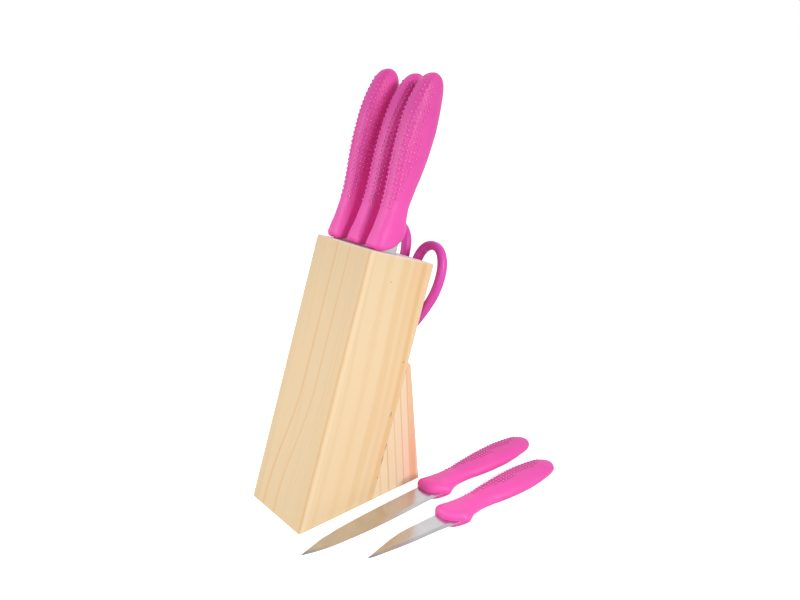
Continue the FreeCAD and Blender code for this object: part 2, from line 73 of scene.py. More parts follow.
class Mat:
    """A small helper round a node material."""

    def __init__(self, name):
        self.m = bpy.data.materials.new(name)
        self.m.use_nodes = True
        self.t = self.m.node_tree
        self.b = self.t.nodes["Principled BSDF"]

    def node(self, kind, **props):
        n = self.t.nodes.new(kind)
        for k, v in props.items():
            setattr(n, k, v)
        return n

    def link(self, a, b):
        self.t.links.new(a, b)

    def put(self, socket, v):
        if hasattr(v, "is_output"):
            self.link(v, socket)
        else:
            socket.default_value = v

    def math(self, op, a, b=None, c=None, clamp=False):
        n = self.node("ShaderNodeMath", operation=op, use_clamp=clamp)
        for i, v in enumerate((a, b, c)):
            if v is not None:
                self.put(n.inputs[i], v)
        return n.outputs[0]

    def vec(self, op, a, b=None):
        n = self.node("ShaderNodeVectorMath", operation=op)
        self.put(n.inputs[0], a)
        if b is not None:
            self.put(n.inputs[1], b)
        return n.outputs[0]

    def xyz(self, x, y, z):
        n = self.node("ShaderNodeCombineXYZ")
        for i, v in enumerate((x, y, z)):
            self.put(n.inputs[i], v)
        return n.outputs[0]

    def split(self, v):
        n = self.node("ShaderNodeSeparateXYZ")
        self.link(v, n.inputs[0])
        return n.outputs[0], n.outputs[1], n.outputs[2]

    def noise(self, vector, scale=1.0, detail=2.0, rough=0.5, distortion=0.0, colour=False):
        n = self.node("ShaderNodeTexNoise")
        self.link(vector, n.inputs["Vector"])
        n.inputs["Scale"].default_value = scale
        n.inputs["Detail"].default_value = detail
        n.inputs["Roughness"].default_value = rough
        n.inputs["Distortion"].default_value = distortion
        return n.outputs["Color" if colour else "Fac"]

    def ramp(self, fac, stops, mode="LINEAR"):
        n = self.node("ShaderNodeValToRGB")
        n.color_ramp.interpolation = mode
        el = n.color_ramp.elements
        while len(el) > 1:
            el.remove(el[0])
        el[0].position, el[0].color = stops[0][0], self.rgba(stops[0][1])
        for p, c in stops[1:]:
            e = el.new(p)
            e.color = self.rgba(c)
        self.link(fac, n.inputs[0])
        return n.outputs[0]

    @staticmethod
    def rgba(c):
        return (c, c, c, 1.0) if isinstance(c, (int, float)) else (c[0], c[1], c[2], 1.0)

    def mix(self, fac, a, b, mode="MIX"):
        n = self.node("ShaderNodeMix", data_type="RGBA", blend_type=mode)
        self.put(n.inputs[0], fac)
        for sock, v in ((n.inputs[6], a), (n.inputs[7], b)):
            self.put(sock, v if hasattr(v, "is_output") else self.rgba(v))
        return n.outputs[2]

    def bump(self, height, strength, distance, normal=None):
        n = self.node("ShaderNodeBump")
        n.inputs["Strength"].default_value = strength
        n.inputs["Distance"].default_value = distance
        self.link(height, n.inputs["Height"])
        if normal is not None:
            self.link(normal, n.inputs["Normal"])
        return n.outputs[0]

    def mm(self, rotate=0.0, shift=(0.0, 0.0, 0.0)):
        """Object coordinates in mm, turned about X."""
        tc = self.node("ShaderNodeTexCoord")
        mp = self.node("ShaderNodeMapping")
        mp.inputs["Scale"].default_value = (1000.0, 1000.0, 1000.0)
        mp.inputs["Rotation"].default_value = (rotate, 0.0, 0.0)
        mp.inputs["Location"].default_value = shift
        self.link(tc.outputs["Object"], mp.inputs["Vector"])
        return mp.outputs[0]


def line(m, value, centre, half, soft):
    """1 within half of centre, falling to 0 over soft."""
    d = m.math("ABSOLUTE", m.math("SUBTRACT", value, centre))
    n = m.node("ShaderNodeMapRange", interpolation_type="SMOOTHSTEP")
    m.put(n.inputs[0], d)
    n.inputs[1].default_value = half
    n.inputs[2].default_value = half + soft
    n.inputs[3].default_value = 1.0
    n.inputs[4].default_value = 0.0
    return n.outputs[0]


def step(m, value, a, b, lo=0.0, hi=1.0):
    n = m.node("ShaderNodeMapRange", interpolation_type="SMOOTHSTEP")
    m.put(n.inputs[0], value)
    n.inputs[1].default_value, n.inputs[2].default_value = a, b
    n.inputs[3].default_value, n.inputs[4].default_value = lo, hi
    return n.outputs[0]


# ------------------------------------------------------------------ wood
PALE = (0.820, 0.625, 0.385)
WARM = (0.790, 0.560, 0.300)
LATE = (0.700, 0.440, 0.200)


def pine(name, seed, across, spacing, painted_shade_tone=1.0, turn=0.0, foot=False):
    """Planed, unvarnished pine. across: how the growth rings cut the board, as weights of (x, depth)."""
    m = Mat(name)
    if foot:
        # the foot's grain runs parallel to its rear face
        lean = math.radians(-2.6)
        p = m.mm(lean, (0.0, 0.0, 0.0))
    else:
        p = m.mm(LEAN, (0.0, C * Y0, S * Y0))
    x, dep, ax = m.split(p)
    drift = m.noise(m.xyz(m.math("MULTIPLY", x, 0.010), m.math("MULTIPLY", dep, 0.010),
                          m.math("MULTIPLY_ADD", ax, 0.0045, seed * 3.7)), 1.0, 2.0, 0.45)
    wave = m.math("MULTIPLY", m.math("SUBTRACT", drift, 0.5), 26.0)
    r = m.math("ADD", m.math("ADD", m.math("MULTIPLY", x, across[0]), m.math("MULTIPLY", dep, across[1])), wave)
    fine = m.noise(m.xyz(m.math("MULTIPLY", x, 0.55), m.math("MULTIPLY", dep, 0.55),
                         m.math("MULTIPLY_ADD", ax, 0.010, seed)), 1.0, 3.0, 0.6)
    r2 = m.math("MULTIPLY_ADD", fine, 1.6, r)
    ring = m.math("FRACT", m.math("DIVIDE", m.math("ADD", r2, seed * 11.3), spacing))
    band = m.ramp(ring, [(0.0, 0.0), (0.12, 0.06), (0.55, 0.25), (0.86, 0.72), (0.94, 1.0), (0.985, 0.35), (1.0, 0.0)])
    # how strong the rings show varies from place to place
    show = m.noise(m.xyz(m.math("MULTIPLY", x, 0.03), m.math("MULTIPLY", dep, 0.03),
                         m.math("MULTIPLY_ADD", ax, 0.004, seed * 1.9)), 1.0, 1.0, 0.5)
    show = step(m, show, 0.35, 0.7, 0.25, 0.75)
    col = m.mix(m.math("MULTIPLY", band, show), PALE, WARM)
    # fibres
    fib = m.noise(m.xyz(m.math("MULTIPLY", x, 2.6), m.math("MULTIPLY", dep, 2.6),
                        m.math("MULTIPLY_ADD", ax, 0.035, seed)), 1.0, 3.0, 0.65)
    col = m.mix(m.math("MULTIPLY", step(m, fib, 0.52, 0.75), 0.30), col, (0.72, 0.50, 0.26))
    col = m.mix(m.math("MULTIPLY", step(m, fib, 0.48, 0.25), 0.22), col, (0.90, 0.72, 0.47))
    # resin ducts: short thin dashes
    duct = m.noise(m.xyz(m.math("MULTIPLY", x, 1.9), m.math("MULTIPLY", dep, 1.9),
                         m.math("MULTIPLY_ADD", ax, 0.11, seed * 5.0)), 1.0, 2.0, 0.5)
    duct = step(m, duct, 0.70, 0.78, 0.0, 0.45)
    col = m.mix(duct, col, (0.56, 0.36, 0.18))
    # broad patches, a little greyer or warmer
    patch = m.noise(m.xyz(m.math("MULTIPLY", x, 0.020), m.math("MULTIPLY", dep, 0.020),
                          m.math("MULTIPLY_ADD", ax, 0.006, seed * 2.3)), 1.0, 2.0, 0.5)
    col = m.mix(m.math("MULTIPLY", step(m, patch, 0.45, 0.8), 0.35), col, (0.83, 0.60, 0.35))
    col = m.mix(m.math("MULTIPLY", step(m, patch, 0.5, 0.2), 0.25), col, (0.78, 0.63, 0.42))
    extra = []
    if not foot:
        # two strong growth lines on the front, near the middle, curving over towards the bottom
        bend = step(m, ax, 112.0, 12.0, 0.0, 13.5)
        q = m.math("ADD", m.math("ADD", x, bend), m.math("MULTIPLY", dep, 0.16))
        q = m.math("MULTIPLY_ADD", fine, 1.2, q)
        l1 = m.math("MULTIPLY", line(m, q, -5.5, 0.34, 1.3), 0.62)
        l2 = m.math("MULTIPLY", line(m, q, 10.6, 0.32, 1.2), 0.50)
        l3 = m.math("MULTIPLY", line(m, q, 22.6, 0.20, 0.7), 0.22)
        l4 = m.math("MULTIPLY", line(m, q, 27.5, 0.20, 0.6), 0.20)
        both = m.math("MAXIMUM", m.math("MAXIMUM", l1, l2), m.math("MAXIMUM", l3, l4))
        inside = step(m, dep, 16.0, 4.0)
        col = m.mix(m.math("MULTIPLY", both, inside), col, (0.80, 0.46, 0.20))
    if name == "pine_right_side":
        # the side face: broad bands and a dark line towards the rear edge
        sway = m.math("MULTIPLY_ADD", fine, 1.5, m.math("SUBTRACT", dep, step(m, ax, 225.0, 90.0, 0.0, 6.5)))
        light = m.math("MAXIMUM", line(m, sway, 12.5, 2.0, 4.5), line(m, sway, 32.0, 2.5, 4.0))
        col = m.mix(m.math("MULTIPLY", light, 0.28), col, (0.840, 0.640, 0.400))
        l5 = m.math("MULTIPLY", line(m, sway, 60.2, 1.2, 2.4), 0.85)
        b1 = m.math("MULTIPLY", line(m, sway, 40.5, 1.8, 4.5), 0.42)
        b2 = m.math("MULTIPLY", line(m, sway, 22.5, 0.8, 4.0), 0.26)
        b3 = m.math("MULTIPLY", line(m, sway, 5.5, 0.5, 2.6), 0.22)
        b4 = m.math("MULTIPLY", line(m, sway, 50.5, 0.5, 3.0), 0.20)
        side = m.math("MAXIMUM", m.math("MAXIMUM", l5, b1), m.math("MAXIMUM", m.math("MAXIMUM", b2, b3), b4))
        col = m.mix(side, col, (0.76, 0.49, 0.23))
        col = m.mix(m.math("MULTIPLY", line(m, x, 34.5, 0.45, 0.9), step(m, dep, 1.6, 1.0, 0.0, 0.62)), col, (0.74, 0.44, 0.20))
        col = m.mix(m.math("MULTIPLY", line(m, dep, 3.0, 0.8, 1.6), 0.55), col, (0.87, 0.69, 0.46))
        col = m.mix(m.math("MULTIPLY", line(m, sway, 57.0, 5.0, 8.0), 0.28), col, (0.80, 0.50, 0.25))
        # a warm edge where the foot is glued on
        col = m.mix(m.math("MULTIPLY", line(m, dep, 69.4, 0.2, 0.9), step(m, ax, 147.0, 138.0, 0.0, 0.55)), col, (0.66, 0.38, 0.17))
        # small marks: a grey scuff, a speck, a shake near the foot
        for d0, a0, rd, ra, c, k in ((27.5, 210.8, 1.3, 0.8, (0.42, 0.34, 0.22), 0.55), (63.8, 147.0, 0.7, 1.0, (0.16, 0.09, 0.04), 0.8),
                                     (69.0, 44.3, 0.7, 1.3, (0.20, 0.11, 0.05), 0.75), (69.2, 72.0, 0.55, 4.0, (0.22, 0.12, 0.06), 0.75),
                                     (68.9, 60.5, 0.60, 5.0, (0.22, 0.12, 0.06), 0.75), (65.2, 101.0, 0.8, 3.0, (0.20, 0.12, 0.06), 0.6)):
            du = m.math("MULTIPLY", m.math("SUBTRACT", m.math("MULTIPLY_ADD", fine, 0.6, dep), d0 + 0.3), 1.0 / rd)
            dv = m.math("MULTIPLY", m.math("SUBTRACT", ax, a0), 1.0 / ra)
            far = m.math("SQRT", m.math("ADD", m.math("MULTIPLY", du, du), m.math("MULTIPLY", dv, dv)))
            col = m.mix(m.math("MULTIPLY", step(m, far, 1.0, 0.5), k), col, c)
    if foot:
        y = m.math("MULTIPLY_ADD", fine, 1.4, dep)
        col = m.mix(0.60, col, (0.86, 0.68, 0.47))
        low = step(m, ax, 78.0, 12.0)
        rosy = m.math("MULTIPLY", step(m, y, 39.0, 50.0), m.math("MULTIPLY_ADD", low, 0.55, 0.12))
        col = m.mix(rosy, col, (0.93, 0.60, 0.47))
        col = m.mix(m.math("MULTIPLY", line(m, y, 58.0, 1.9, 2.2), m.math("MULTIPLY_ADD", low, 0.40, 0.55)), col, (0.82, 0.44, 0.25))
        l6 = m.math("MULTIPLY", line(m, y, 54.2, 0.30, 0.8), 0.85)
        l7 = m.math("MULTIPLY", line(m, y, 46.6, 0.25, 0.8), 0.80)
        l8 = m.math("MULTIPLY", line(m, y, 38.4, 0.22, 0.8), 0.65)
        l9 = m.math("MULTIPLY", line(m, y, 29.6, 0.25, 0.9), 0.80)
        l10 = m.math("MULTIPLY", line(m, y, 20.5, 0.20, 0.8), 0.60)
        both = m.math("MAXIMUM", m.math("MAXIMUM", l6, l7), m.math("MAXIMUM", l8, m.math("MAXIMUM", l9, l10)))
        col = m.mix(m.math("MULTIPLY", both, 0.85), col, (0.76, 0.41, 0.18))
    else:
        col = m.mix(step(m, ax, 230.8, 231.6), col, (0.82, 0.68, 0.62))       # the sawn top
    # painted shade: the whole board's colour darkened by this factor
    if painted_shade_tone != 1.0:
        col = m.mix(1.0, col, (painted_shade_tone, painted_shade_tone, painted_shade_tone), "MULTIPLY")
    m.link(col, m.b.inputs["Base Color"])
    rough = m.math("MULTIPLY_ADD", fib, 0.16, 0.50)
    m.link(rough, m.b.inputs["Roughness"])
    m.b.inputs["Specular IOR Level"].default_value = 0.30
    h = m.math("ADD", m.math("MULTIPLY", fib, 0.6), m.math("MULTIPLY", band, -0.25))
    m.link(m.bump(h, 0.22, 0.0003), m.b.inputs["Normal"])
    return m.m


def end_grain(name, seed):
    m = Mat(name)
    p = m.mm(LEAN, (0.0, C * Y0, S * Y0))
    n = m.noise(p, 0.8, 3.0, 0.6)
    col = m.ramp(n, [(0.3, (0.74, 0.55, 0.33)), (0.7, (0.62, 0.43, 0.24))])
    m.link(col, m.b.inputs["Base Color"])
    m.b.inputs["Roughness"].default_value = 0.7
    m.link(m.bump(n, 0.3, 0.0003), m.b.inputs["Normal"])
    return m.m


WOOD = {
    # the left side board is painted a little darker all over (0.97), a painted shade
    "left_side_board": pine("pine_left_side", 1.0, (0.90, 0.25), 9.0, 0.97),
    "left_inner_board": pine("pine_left_inner", 2.0, (0.80, 0.35), 11.0),
    "right_inner_board": pine("pine_right_inner", 3.2, (0.75, -0.30), 12.0),
    "right_side_board": pine("pine_right_side", 4.6, (0.45, 0.42), 23.0),
    "rear_foot": pine("pine_foot", 5.3, (0.50, 0.70), 9.5, foot=True),
}
for n, mat in WOOD.items():
    nodes[n].data.materials.clear()
    nodes[n].data.materials.append(mat)
for n in ("board_dowels", "foot_dowels"):
    nodes[n].data.materials.clear()
    nodes[n].data.materials.append(end_grain("beech_" + n, 1.0))


# ------------------------------------------------------------------ moulded plastic
# ------------------------------------------------------------------ corners
def crisp(node, corners, round_=2.4, power=10.0):
    """A board again, point for point, with the rounding along some of its outer corners drawn tighter.
    corners: side, outward direction (y, z) of the second face, and how far out along it that face lies."""
    src = nodes[node]
    co = np.array([src.matrix_world @ v.co for v in src.data.vertices]) / MM
    for side, (ny, nz), edge in corners:
        u = co[:, 0] * side - (36.0 - round_)
        t = co[:, 1] * ny + co[:, 2] * nz - (edge - round_)
        r = np.maximum(np.hypot(u, t), 1e-9)
        inside = (u > 1e-4) & (t > 1e-4) & (r < round_ + 0.02)
        f = (np.maximum(u, 0) / r) ** power + (np.maximum(t, 0) / r) ** power
        f = np.where(inside, np.maximum(f, 1e-9) ** (-1.0 / power) - 1.0, 0.0)
        co[:, 0] += side * u * f
        co[:, 1] += ny * t * f
        co[:, 2] += nz * t * f
    mesh = bpy.data.meshes.new(node + "_planed")
    mesh.from_pydata((co * MM).tolist(), [], [tuple(q.vertices) for q in src.data.polygons])
    bm = bmesh.new()
    bm.from_mesh(mesh)
    bmesh.ops.remove_doubles(bm, verts=bm.verts, dist=1e-6)
    for q in bm.faces:
        q.smooth = True
    bm.to_mesh(mesh)
    bm.free()
    mesh.set_sharp_from_angle(angle=math.radians(32))
    mesh.materials.append(WOOD[node])
    o = bpy.data.objects.new(node + "_planed", mesh)
    bpy.context.scene.collection.objects.link(o)
    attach(o, "block")
    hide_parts(node)
    return o


apex = block(np.array([BLOCK_D, BLOCK_D, BLOCK_D * math.tan(LEAN) + 129.5]) * np.array([0, 1, 1]))
slope = np.array([apex[2], Y0 - apex[1]]) / math.hypot(apex[2], Y0 - apex[1])      # square to the foot's rear face
crisp("left_side_board", [(-1, (-C, S), Y0 * C), (-1, (C, -S), BLOCK_D - Y0 * C)])
crisp("right_side_board", [(1, (C, -S), BLOCK_D - Y0 * C)])
crisp("rear_foot", [(1, tuple(slope), Y0 * slope[0]), (-1, tuple(slope), Y0 * slope[0])])


def plastic(name, base=(0.91, 0.102, 0.465), rough=0.44):
    """Moulded polypropylene, satin; the tops of the grip dots are polished (less rough) and painted paler, a painted
    highlight; round the foot of each dot the pink is darkened, a painted shade.
    """
    m = Mat(name)
    p = m.mm()
    n = m.noise(p, 1.7, 3.0, 0.6)
    big = m.noise(p, 0.035, 2.0, 0.5)
    at = m.node("ShaderNodeAttribute")
    at.attribute_name = "dot_top_polish_and_painted_highlight"
    dot = step(m, at.outputs["Fac"], 0.35, 0.95)
    col = m.mix(m.math("MULTIPLY", step(m, big, 0.3, 0.7), 0.5), base, (base[0] * 0.95, base[1] * 0.85, base[2] * 0.97))
    dot_foot_shade_attr = m.node("ShaderNodeAttribute")
    dot_foot_shade_attr.attribute_name = "dot_foot_painted_shade"
    # painted shade: round the foot of each dot the colour is darkened towards deep crimson
    col = m.mix(m.math("MULTIPLY", dot_foot_shade_attr.outputs["Fac"], 0.90), col, (0.50, 0.010, 0.19))
    # painted highlight: the tops of the dots are painted a paler pink
    col = m.mix(m.math("MULTIPLY", dot, 0.90), col, (1.0, 0.27, 0.68))
    m.link(col, m.b.inputs["Base Color"])
    m.link(m.math("MULTIPLY_ADD", dot, -0.16, m.math("MULTIPLY_ADD", n, 0.10, rough - 0.05)), m.b.inputs["Roughness"])
    m.b.inputs["Specular IOR Level"].default_value = 0.30
    m.b.inputs["Subsurface Weight"].default_value = 0.10
    m.b.inputs["Subsurface Radius"].default_value = (1.0, 0.25, 0.55)
    m.b.inputs["Subsurface Scale"].default_value = 0.002
    m.b.inputs["Sheen Weight"].default_value = 0.02
    m.b.inputs["Sheen Roughness"].default_value = 0.45
    m.link(m.bump(n, 0.10, 0.0001), m.b.inputs["Normal"])
    return m.m


PINK = plastic("pink_plastic")
PINK_BOW = plastic("pink_plastic_scissors", (0.75, 0.078, 0.45), 0.38)
for n in ("scissors_right_bow", "scissors_left_bow"):
    nodes[n].data.materials.clear()
    nodes[n].data.materials.append(PINK_BOW)


# ------------------------------------------------------------------ steel
def steel(name, base=(0.60, 0.61, 0.62), rough=0.16, grain_axis="along", small=False):
    """Ground and polished stainless: fine scratches across the blade."""
    m = Mat(name)
    p = m.mm()
    x, y, z = m.split(p)
    if grain_axis == "lying":       # blades lying along Y: scratches run across, along X
        q = m.xyz(m.math("MULTIPLY", x, 0.05), m.math("MULTIPLY", y, 3.2), m.math("MULTIPLY", z, 0.05))
    else:
        q = m.xyz(m.math("MULTIPLY", x, 3.0), m.math("MULTIPLY", y, 0.06), m.math("MULTIPLY", z, 3.2))
    scr = m.noise(q, 1.0, 3.0, 0.65)
    soft = m.noise(p, 0.06, 2.0, 0.5)
    m.b.inputs["Metallic"].default_value = 1.0
    m.link(m.mix(step(m, soft, 0.3, 0.7), base, (base[0] * 0.93, base[1] * 0.93, base[2] * 0.94)), m.b.inputs["Base Color"])
    m.link(m.math("MULTIPLY_ADD", scr, 0.14, rough - 0.07), m.b.inputs["Roughness"])
    m.b.inputs["Anisotropic"].default_value = 0.35
    m.link(m.bump(scr, 0.20 if grain_axis == "lying" else 0.06, 0.00005), m.b.inputs["Normal"])
    return m.m


BLADE = steel("blade_steel")
SMALL_BLADE = steel("blade_steel_small", base=(0.64, 0.64, 0.65), rough=0.21, grain_axis="lying")
SCISSOR = steel("scissor_steel", base=(0.58, 0.585, 0.59), rough=0.24)
SCREW = steel("screw_steel", base=(0.50, 0.50, 0.51), rough=0.32)
for n in ("bread_knife_blade", "slicing_knife_blade", "chef_knife_blade"):
    nodes[n].data.materials.clear(); nodes[n].data.materials.append(BLADE)
for n in ("utility_knife_blade", "paring_knife_blade"):
    nodes[n].data.materials.clear(); nodes[n].data.materials.append(SMALL_BLADE)
for n in ("scissors_right_blade", "scissors_left_blade"):
    nodes[n].data.materials.clear(); nodes[n].data.materials.append(SCISSOR)
for n in ("pivot_screw", "pivot_nut"):
    nodes[n].data.materials.clear(); nodes[n].data.materials.append(SCREW)


# ------------------------------------------------------------------ knife handles
def pchip(x, y):
    """Monotone cubic through the points, returned as a function."""
    x, y = np.asarray(x, float), np.asarray(y, float)
    h, d = np.diff(x), np.diff(y) / np.diff(x)
    m = np.zeros_like(x)
    for i in range(1, len(x) - 1):
        if d[i - 1] * d[i] > 0:
            w1, w2 = 2 * h[i] + h[i - 1], h[i] + 2 * h[i - 1]
            m[i] = (w1 + w2) / (w1 / d[i - 1] + w2 / d[i])
    m[0], m[-1] = d[0], d[-1]

    def f(q):
        q = np.clip(np.asarray(q, float), x[0], x[-1])
        k = np.clip(np.searchsorted(x, q, side="right") - 1, 0, len(x) - 2)
        t = (q - x[k]) / h[k]
        t2, t3 = t * t, t * t * t
        return ((2 * t3 - 3 * t2 + 1) * y[k] + (t3 - 2 * t2 + t) * h[k] * m[k]
                + (-2 * t3 + 3 * t2) * y[k + 1] + (t3 - t2) * h[k] * m[k + 1])
    return f


# ring, in both tables: how strong the painted shade round the foot of each dot is
LARGE = dict(
    u=[0, 10.05, 16, 20.7, 25.3, 30, 36.2, 50.27, 66.36, 82.45, 98.54, 112.61, 124.68, 133.73, 140.26, 143.18, 144.10],
    s=[-3.6, -2.05, -0.9, -0.35, 0.15, 0.65, 1.0, 0.61, -0.66, -1.37, -1.03, 0.41, 3.09, 5.92, 9.67, 13.69, 17.6],
    b=[24, 26.0, 27.4, 27.6, 25.7, 24.3, 23.6, 25.4, 28.4, 30.5, 31.4, 30.6, 29.2, 27.8, 25.16, 21.36, 17.6],
    t=[9.6, 9.1, 8.8, 8.6, 8.5, 8.45, 8.4, 8.8, 9.4, 9.9, 10.0, 9.8, 9.2, 7.8, 5.6, 3.2, 0.0],
    end=[(-6, 8.0), (-4, 3.6), (-1.5, 1.0), (2, 0.2), (6, 1.0), (10, 2.4), (14, 4.4), (18, 6.8), (21, 9.0),
         (23.5, 11.4), (25.5, 13.9), (27.2, 16.5), (29.0, 19.6), (32.0, 25.5)],
    corner=3.9, flat=32.6, rows=(34.5, 3.70, 28), cols=6, pitch=3.1,
    first=([30, 60, 90, 110, 125, 137], [2.9, 2.9, 3.3, 4.3, 4.9, 4.9]),
    limit=([34, 40, 47.5, 54, 65, 75, 105, 115, 128, 132, 136.5], [6.4, 8.8, 11.8, 13.8, 16.4, 18.9, 18.9, 17.3, 14.3, 11.3, 6.5]),
    dot=1.16, slim=(0.22, 0.32), inset=0.36, ring=0.32, grow=0.25)
SMALL = dict(
    u=[0, 9.12, 13.5, 20.06, 26, 32.83, 45.59, 60.19, 74.78, 89.37, 102.13, 113.08, 121.28, 127.21, 129.85, 130.70],
    s=[-1.93, -0.82, -0.1, 0.7, 1.05, 1.08, -0.35, -1.44, -2.2, -2.41, -1.5, 0.18, 2.86, 6.05, 9.15, 11.8],
    b=[21.5, 24.5, 25.2, 22.4, 19.7, 18.41, 19.0, 21.35, 22.82, 23.41, 22.69, 21.26, 19.86, 17.63, 13.93, 11.8],
    t=[8.06, 7.64, 7.5, 7.22, 7.1, 7.06, 7.39, 7.9, 8.32, 8.4, 8.23, 7.73, 6.55, 4.7, 2.69, 0.0],
    end=[(-6, 8.0), (-3, 2.4), (0, -0.2), (4, -1.2), (9, -1.1), (13, -0.1), (16.5, 2.0), (19, 4.9), (21, 8.4),
         (23, 11.2), (25, 13.8), (27, 16.4), (29, 19.2)],
    corner=5.6, flat=29.2, rows=(31.0, 3.37, 27), cols=6, pitch=2.85,
    first=([27, 55, 80, 100, 113, 125], [2.7, 2.7, 3.0, 3.9, 4.4, 4.4]),
    limit=([30, 36, 43, 50, 60, 68, 95, 104, 112, 118, 122], [5.9, 8.0, 10.6, 12.8, 15.0, 17.4, 17.4, 16.0, 13.6, 10.2, 6.0]),
    dot=1.24, slim=(0.28, 0.50), inset=0.70, inset_spine=0.25, ring=0.95)
DOME = [(0.86, 0.0), (0.70, 0.0), (0.64, 0.30), (0.50, 0.53), (0.28, 0.65)]      # radius, height of the rings of a dot
DOME_TOP = 0.68


def arc(pts):
    return np.concatenate([[0], np.cumsum(np.linalg.norm(np.diff(pts, axis=0), axis=1))])


def handle_rings(spec):
    """Half rings of a moulded handle, from the end face round the corner and along the flank to the butt."""
    u_end = spec["u"][-1]
    a2 = pchip(spec["u"], (np.subtract(spec["b"], spec["s"]) / 2) ** 2)
    t2 = pchip(spec["u"], np.array(spec["t"]) ** 2)
    mid = pchip(spec["u"], np.add(spec["b"], spec["s"]) / 2)
    ev = pchip([p[0] for p in spec["end"]], [p[1] for p in spec["end"]])
    r0, rp, rn = spec["rows"]
    dot_lo, dot_hi = r0 - rp, r0 + rp * rn
    inset = spec["inset"]           # the tops of the dots, not the skin between them, make the outline
    psi = np.linspace(0, math.pi, 721)
    sn, cs = np.sin(psi), np.cos(psi)
    rc = 1.1 + (spec["corner"] - 1.1) * np.abs(sn) ** 1.2       # corner radius: small on the spine, large on the flanks

    def shape(u):
        k = np.clip((u - dot_lo) / 10, 0, 1) * np.clip((dot_hi - u) / 12, 0, 1)
        k = k * k * (3 - 2 * k)
        spine, k = k * spec.get("inset_spine", inset), k * inset
        a, t = np.sqrt(np.maximum(a2(u), 0)), np.sqrt(np.maximum(t2(u), 0))
        grow = spec.get("grow", 0.0) * np.clip((u_end - u) / 14, 0, 1)
        a, t = a + grow, t + grow
        e = np.where(cs >= 0, 3.2 + 0.9 * np.clip((30 - u) / 26, 0, 1), 2.4)
        w = np.where(cs < 0, np.abs(cs) ** (2 / e), 0.0)          # thinner along the finger side, most at the guard
        slim = spec["slim"][0] + (spec["slim"][1] - spec["slim"][0]) * np.clip((32 - u) / 12, 0, 1)
        x = np.maximum(t - k, 0) * np.abs(sn) ** (2 / e) * (1 - slim * w * w)
        v = mid(u) - np.sign(cs) * np.maximum(a - spine * (cs >= 0), 0) * np.abs(cs) ** (2 / e)
        return x, v, t, a

    def flank(U):
        """Square to the axis, except at the front, where the rings follow the end face."""
        g = float(np.clip(1 - U / spec["flat"], 0, 1))
        g = g * g * (3 - 2 * g)
        u = np.full_like(psi, U + g * 4.0)
        for _ in range(30):
            x, v, t, a = shape(u)
            u = 0.5 * u + 0.5 * (U + g * (ev(v) + rc))
        x, v, t, a = shape(u)
        return np.stack([x, v, u], -1), t, a

    first, limit = pchip(*spec["first"]), pchip(*spec["limit"])
    pitch, cols, belly = spec["pitch"], spec["cols"], 11

    def marks(u, length, ref):
        """Distances from the spine line: fixed while there are dots, then even steps to the belly line."""
        s1 = float(first(u))
        inner = np.array([0.0, (s1 - pitch / 2) / 2] + [s1 + pitch / 2 * (j - 1) for j in range(2 * cols + 1)])
        if ref is not None:
            inner = inner * length / ref
        elif inner[-1] > 0.8 * length:
            inner = inner * 0.8 * length / inner[-1]
        return np.concatenate([inner, inner[-1] + (length - inner[-1]) * np.arange(1, belly + 1) / belly])

    def pick(pts, m):
        s = arc(pts)
        return np.stack([np.interp(m, s, pts[:, k]) for k in range(3)], -1)

    # flank
    rows = {}
    along = [(r0 - rp / 2) * k / 17 for k in range(17)] + [r0 + rp / 2 * (j - 1) for j in range(2 * rn)]
    last = along[-1]
    along += [u_end - (u_end - last - rp / 2) * (1 - k / 9) ** 2 for k in range(9)]
    ref = arc(flank(last)[0])[-1]
    body = []
    for k, U in enumerate(along):
        pts, _, _ = flank(U)
        m = marks(U, arc(pts)[-1], ref if U > last + 0.01 else None)
        body.append(pick(pts, m))
        j = k - 17
        if 0 <= j < 2 * rn and j % 2 == 1:
            rows[k] = U
    # corner and end face, from the first flank ring inwards
    ring0, t0, a0 = flank(0.0)
    m0 = marks(0.0, arc(ring0)[-1], None)
    tt, aa, rr = np.interp(m0, arc(ring0), t0), np.interp(m0, arc(ring0), a0), np.interp(m0, arc(ring0), rc)
    x0, v0 = body[0][:, 0], body[0][:, 1]
    vc = float(np.mean([v0[0], v0[-1]]))
    front = []
    for k in range(1, 8):
        th = math.pi / 2 * k / 7
        dx, dv = rr * (1 - math.cos(th)), 1.1 * (1 - math.cos(th))
        x, v = x0 * (1 - dx / tt), vc + (v0 - vc) * (1 - dv / aa)
        front.append(np.stack([x, v, ev(v) + rr * (1 - math.sin(th))], -1))
    for f in (0.72, 0.44, 0.16):
        x, v = front[6][:, 0] * f, vc + (front[6][:, 1] - vc) * (0.25 + 0.75 * f)
        front.append(np.stack([x, v, ev(v)], -1))
    n = len(front)
    rings = front[::-1] + body
    return rings, {k + n: u for k, u in rows.items()}, first, limit


